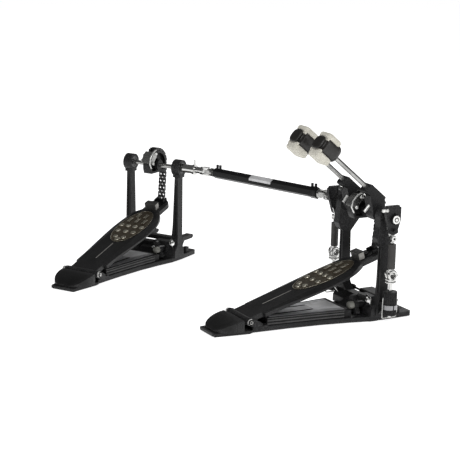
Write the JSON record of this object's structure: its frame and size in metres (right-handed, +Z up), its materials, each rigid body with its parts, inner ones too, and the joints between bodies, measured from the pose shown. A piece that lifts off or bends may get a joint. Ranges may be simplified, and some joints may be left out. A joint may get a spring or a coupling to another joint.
{
  "type": "double bass drum pedal",
  "caption": "Chain-drive double bass drum pedal: main pedal with twin felt beaters and a slave pedal joined by a jointed drive shaft.",
  "frame": {"origin": "on the floor directly below the middle of the main pedal's axle", "axes": "+X to the drummer's right along the main axle, +Y towards the drum, +Z up"},
  "size_m": [0.6634, 0.4853, 0.3297],
  "materials": {
    "black_cast": "satin charcoal powder coat on cast metal",
    "board_black": "satin black paint",
    "grip": "brown-grey tinted, raised studs worn bright",
    "dark_plastic": "fine grained black plastic",
    "stop_face": "grained dark plastic",
    "chain_steel": "oiled dark steel",
    "chrome": "bright plate",
    "steel": "turned steel",
    "bearing": "ground steel with dark seals",
    "felt": "pressed cream felt",
    "light_sheet": "matte light grey pressed sheet",
    "heel_black": "satin black paint",
    "rubber": "matte black rubber",
    "shaft_black": "semi-gloss black",
    "nut_black": "black ribbed nut"
  },
  "bodies": {
    "base": {"main_frame": "black_cast", "slave_frame": "black_cast", "main_base_plate": "black_cast", "slave_base_plate": "black_cast", "base_inlays": "light_sheet", "hinge_pins": "chrome", "heel_bases": "black_cast", "heel_plates": "heel_black", "rubber_pads": "rubber", "spur_screws": "chrome", "bearings": "bearing", "tension_rods": "chrome", "tension_nuts": "nut_black", "wire_clips": "chrome"},
    "main_footboard": {"main_footboard": "board_black", "main_grip_inlay": "grip", "main_toe_stop": "stop_face", "main_chain_clamp": "steel", "main_chain_run": "chain_steel"},
    "slave_footboard": {"slave_footboard": "board_black", "slave_grip_inlay": "grip", "slave_toe_stop": "stop_face", "slave_chain_clamp": "steel", "slave_chain_run": "chain_steel"},
    "main_axle": {"main_axle": "chrome", "main_cam": "black_cast", "main_cam_clamp": "chrome", "main_chain_wrap": "chain_steel", "right_beater_hub": "black_cast", "right_spring_lever": "black_cast", "right_lever_bolt": "chrome"},
    "left_axle": {"left_axle": "chrome", "left_beater_hub": "black_cast", "left_spring_lever": "black_cast", "left_lever_bolt": "chrome", "left_joint_yoke": "steel"},
    "slave_axle": {"slave_axle": "chrome", "slave_cam": "black_cast", "slave_cam_clamp": "chrome", "slave_chain_wrap": "chain_steel", "slave_coupler": "chrome"},
    "drive_shaft": {"drive_sleeve": "shaft_black", "drive_rods": "steel", "joint_crosses": "steel"},
    "right_beater": {"right_beater_rod": "chrome", "right_beater_core": "dark_plastic", "right_beater_felts": "felt"},
    "left_beater": {"left_beater_rod": "chrome", "left_beater_core": "dark_plastic", "left_beater_felts": "felt"},
    "right_spring_link": {"right_spring_clevis": "chrome", "right_spring_cover": "dark_plastic", "right_spring": "steel"},
    "left_spring_link": {"left_spring_clevis": "chrome", "left_spring_cover": "dark_plastic", "left_spring": "steel"},
    "main_clamp_jaw": {"main_clamp_jaw": "black_cast"},
    "slave_clamp_jaw": {"slave_clamp_jaw": "black_cast"},
    "main_wing_screw": {"main_wing_screw": "black_cast"},
    "slave_wing_screw": {"slave_wing_screw": "black_cast"}
  },
  "joints": [
    {"name": "main_footboard_hinge", "type": "hinge", "parent": "base", "child": "main_footboard", "pos_m": [0, -0.232, 0.022], "axis": [1, 0, 0], "range_deg": [-6.4, 0], "stiffness_Nm_per_rad": 60, "springref_deg": 2.86, "deforming": ["main_chain_run"]},
    {"name": "main_axle_turn", "type": "hinge", "parent": "base", "child": "main_axle", "pos_m": [0, 0, 0.182], "axis": [1, 0, 0], "range_deg": [-55.1, 0]},
    {"name": "right_spring_swing", "type": "hinge", "parent": "main_axle", "child": "right_spring_link", "pos_m": [0.087, 0, 0.163], "axis": [1, 0, 0], "range_deg": [0, 65.5], "deforming": ["right_spring"]},
    {"name": "right_beater_slide", "type": "slide", "parent": "main_axle", "child": "right_beater", "axis": [0, -0.766, 0.6428], "range_m": [-0.03, 0.02]},
    {"name": "slave_footboard_hinge", "type": "hinge", "parent": "base", "child": "slave_footboard", "pos_m": [-0.36651, -0.35186, 0.022], "axis": [0.8572, 0.515, 0], "range_deg": [-6.4, 0], "stiffness_Nm_per_rad": 60, "springref_deg": 2.86, "deforming": ["slave_chain_run"]},
    {"name": "slave_axle_turn", "type": "hinge", "parent": "base", "child": "slave_axle", "pos_m": [-0.486, -0.153, 0.182], "axis": [0.8572, 0.515, 0], "range_deg": [-55.1, 0]},
    {"name": "drive_shaft_turn", "type": "hinge", "parent": "base", "child": "drive_shaft", "pos_m": [-0.121, 0, 0.182], "axis": [0.944, 0.33, 0], "range_deg": [-55.1, 0]},
    {"name": "left_axle_turn", "type": "hinge", "parent": "base", "child": "left_axle", "pos_m": [0, 0, 0.182], "axis": [1, 0, 0], "range_deg": [-55.1, 0]},
    {"name": "left_spring_swing", "type": "hinge", "parent": "left_axle", "child": "left_spring_link", "pos_m": [-0.087, 0, 0.163], "axis": [1, 0, 0], "range_deg": [0, 65.5], "deforming": ["left_spring"]},
    {"name": "left_beater_slide", "type": "slide", "parent": "left_axle", "child": "left_beater", "axis": [0, -0.766, 0.6428], "range_m": [-0.03, 0.02]},
    {"name": "main_wing_turn", "type": "hinge", "parent": "base", "child": "main_wing_screw", "pos_m": [0.033, -0.03, 0.028], "axis": [0, 1, 0], "range_deg": [0, 720]},
    {"name": "main_jaw_close", "type": "hinge", "parent": "base", "child": "main_clamp_jaw", "pos_m": [0, 0.0185, 0.0325], "axis": [1, 0, 0], "range_deg": [-15.1, 0]},
    {"name": "slave_wing_turn", "type": "hinge", "parent": "base", "child": "slave_wing_screw", "pos_m": [-0.44226, -0.16172, 0.028], "axis": [-0.515, 0.8572, 0], "range_deg": [0, 720]},
    {"name": "slave_jaw_close", "type": "hinge", "parent": "base", "child": "slave_clamp_jaw", "pos_m": [-0.49553, -0.13714, 0.037], "axis": [0.8572, 0.515, 0], "range_deg": [-15.1, 0]}
  ],
  "couplings": [
    {"joint": "main_axle_turn", "follows": "main_footboard_hinge", "ratio": 8.6},
    {"joint": "right_spring_swing", "follows": "main_footboard_hinge", "ratio": -10.22},
    {"joint": "slave_axle_turn", "follows": "slave_footboard_hinge", "ratio": 8.6},
    {"joint": "drive_shaft_turn", "follows": "slave_footboard_hinge", "ratio": 8.6},
    {"joint": "left_axle_turn", "follows": "slave_footboard_hinge", "ratio": 8.6},
    {"joint": "left_spring_swing", "follows": "slave_footboard_hinge", "ratio": -10.22},
    {"joint": "main_jaw_close", "follows": "main_wing_turn", "ratio": -0.020833},
    {"joint": "slave_jaw_close", "follows": "slave_wing_turn", "ratio": -0.020833}
  ]
}
